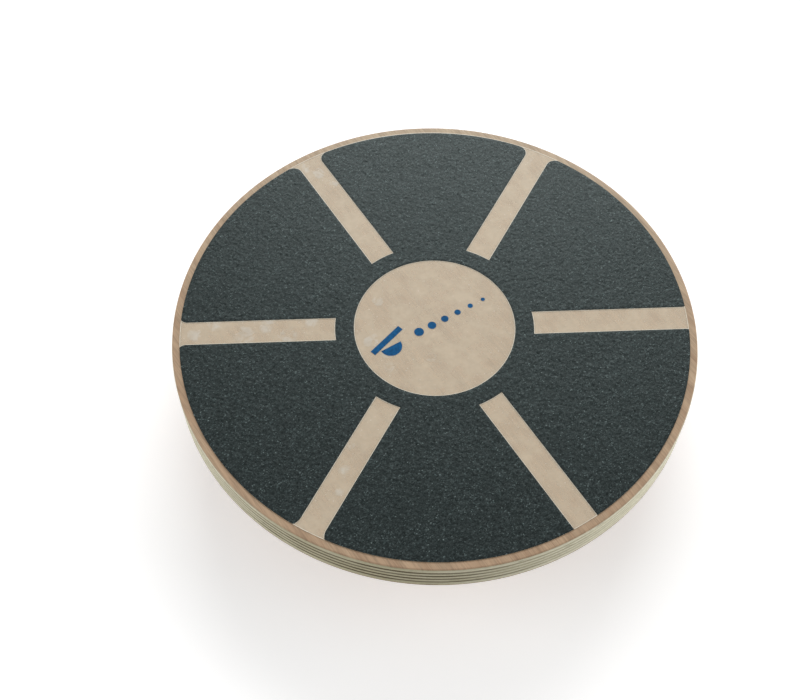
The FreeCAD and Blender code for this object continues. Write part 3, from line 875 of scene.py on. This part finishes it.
def build_pad():
    """The rubber pad: a grooved cap on the pole with a stem up into the hub."""
    foot = math.sqrt(PAD_SPHERE ** 2 - CURVE_CENTRE ** 2)
    deep, wide, narrow = 0.6 * MM, 0.9 * MM, 0.5 * MM
    soft, chamfer = 0.8 * MM, 0.6 * MM
    stem = HUB_BORE - PAD_GAP
    outline = [(0, deep), (3.2 * MM, deep), (3.8 * MM, 0)]
    for groove in FOOT_GROOVES:
        outline += [(groove - wide, 0), (groove - narrow, deep),
                    (groove + narrow, deep), (groove + wide, 0)]
    outline += sphere_arc(PAD_SPHERE, foot, PAD_RADIUS - soft, 110, PAD_GROOVES, deep, wide)
    edge = sphere_arc(PAD_SPHERE, PAD_RADIUS - soft, PAD_RADIUS, 1)[1]
    outline += [(PAD_RADIUS - 0.25 * MM, edge[1] + 0.1 * MM), (PAD_RADIUS, edge[1] + 0.5 * MM)]
    outline += sphere_arc(RECESS_SPHERE + PAD_GAP, PAD_RADIUS, stem, 16)
    outline += [(stem, STEM_TOP - chamfer), (stem - chamfer, STEM_TOP), (0, STEM_TOP)]
    new_piece("pole_pad_rubber", lathe(outline, segments=FINE_SEGMENTS), [rubber_material()],
              "pole_pad", smooth=32)


# The studio

def build_floor():
    """A plain pale round floor."""
    mesh = bpy.data.meshes.new("floor")
    rim = arc((0, 0), FLOOR_RADIUS, 0, 357, 119)
    mesh.from_pydata([(x, y, 0) for x, y in rim], [], [tuple(range(len(rim)))])
    mesh.materials.append(floor_material())
    floor = bpy.data.objects.new("floor", mesh)
    scene.collection.objects.link(floor)


def build_world():
    """An even soft light, with a nearly white backdrop where the camera sees past the floor."""
    world = bpy.data.worlds.new("studio")
    world.use_nodes = True
    tree = world.node_tree
    light = tree.nodes["Background"]
    light.inputs["Color"].default_value = (1, 1, 1, 1)
    light.inputs["Strength"].default_value = WORLD_LIGHT
    backdrop = tree.nodes.new("ShaderNodeBackground")
    backdrop.inputs["Color"].default_value = (1, 1, 1, 1)
    backdrop.inputs["Strength"].default_value = BACKDROP
    pick = tree.nodes.new("ShaderNodeMixShader")
    tree.links.new(tree.nodes.new("ShaderNodeLightPath").outputs["Is Camera Ray"], pick.inputs[0])
    tree.links.new(light.outputs[0], pick.inputs[1])
    tree.links.new(backdrop.outputs[0], pick.inputs[2])
    tree.links.new(pick.outputs[0], tree.nodes["World Output"].inputs["Surface"])
    scene.world = world


def build_lights():
    """A soft key light behind the board, and a softer one on each side."""
    soft_light("key", KEY_LIGHT, 2.6, 1.6, (0.4, 2.6, 2.0))
    soft_light("left", SIDE_LIGHT, 1.6, 1.2, (-2.4, -0.3, 1.0))
    soft_light("right", SIDE_LIGHT * 1.15, 1.6, 1.2, (2.4, -0.1, 0.8))


def soft_light(name, power, wide, tall, place):
    """An area light that faces the middle of the deck."""
    light = bpy.data.lights.new(name, "AREA")
    light.shape = "RECTANGLE"
    light.size, light.size_y = wide, tall
    light.energy = power
    lamp = bpy.data.objects.new(name, light)
    lamp.location = place
    way = Vector((0, 0, DECK_TOP)) - lamp.location
    lamp.rotation_euler = way.to_track_quat("-Z", "Y").to_euler()
    scene.collection.objects.link(lamp)


def build_camera():
    """A camera in front of the board and above it, aimed a little off its middle."""
    camera = bpy.data.cameras.new("camera")
    camera.lens = CAMERA_LENS
    camera.sensor_width = 36
    camera.clip_start = 0.02
    camera.clip_end = 100
    item = bpy.data.objects.new("camera", camera)
    rise, turn = math.radians(CAMERA_RISE), math.radians(CAMERA_TURN - 90)
    away = Vector((math.cos(rise) * math.cos(turn), math.cos(rise) * math.sin(turn), math.sin(rise)))
    item.location = CAMERA_AIM + away * CAMERA_DISTANCE
    item.rotation_euler = (-away).to_track_quat("-Z", "Y").to_euler()
    scene.collection.objects.link(item)
    scene.camera = item


scene.view_settings.view_transform = "Standard"
loops = print_loops()
build_deck()
build_film()
build_grit(loops)
build_window_lines(loops)
moulding = moulding_material()
build_dome(moulding)
build_clamp_ring(moulding)
build_pad()
for node, material in (("emblem_print", print_material()), ("dome_screws", steel_material())):
    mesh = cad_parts[node].data
    mesh.materials.clear()
    mesh.materials.append(material)
build_floor()
build_world()
build_lights()
build_camera()
bpy.context.view_layer.update()
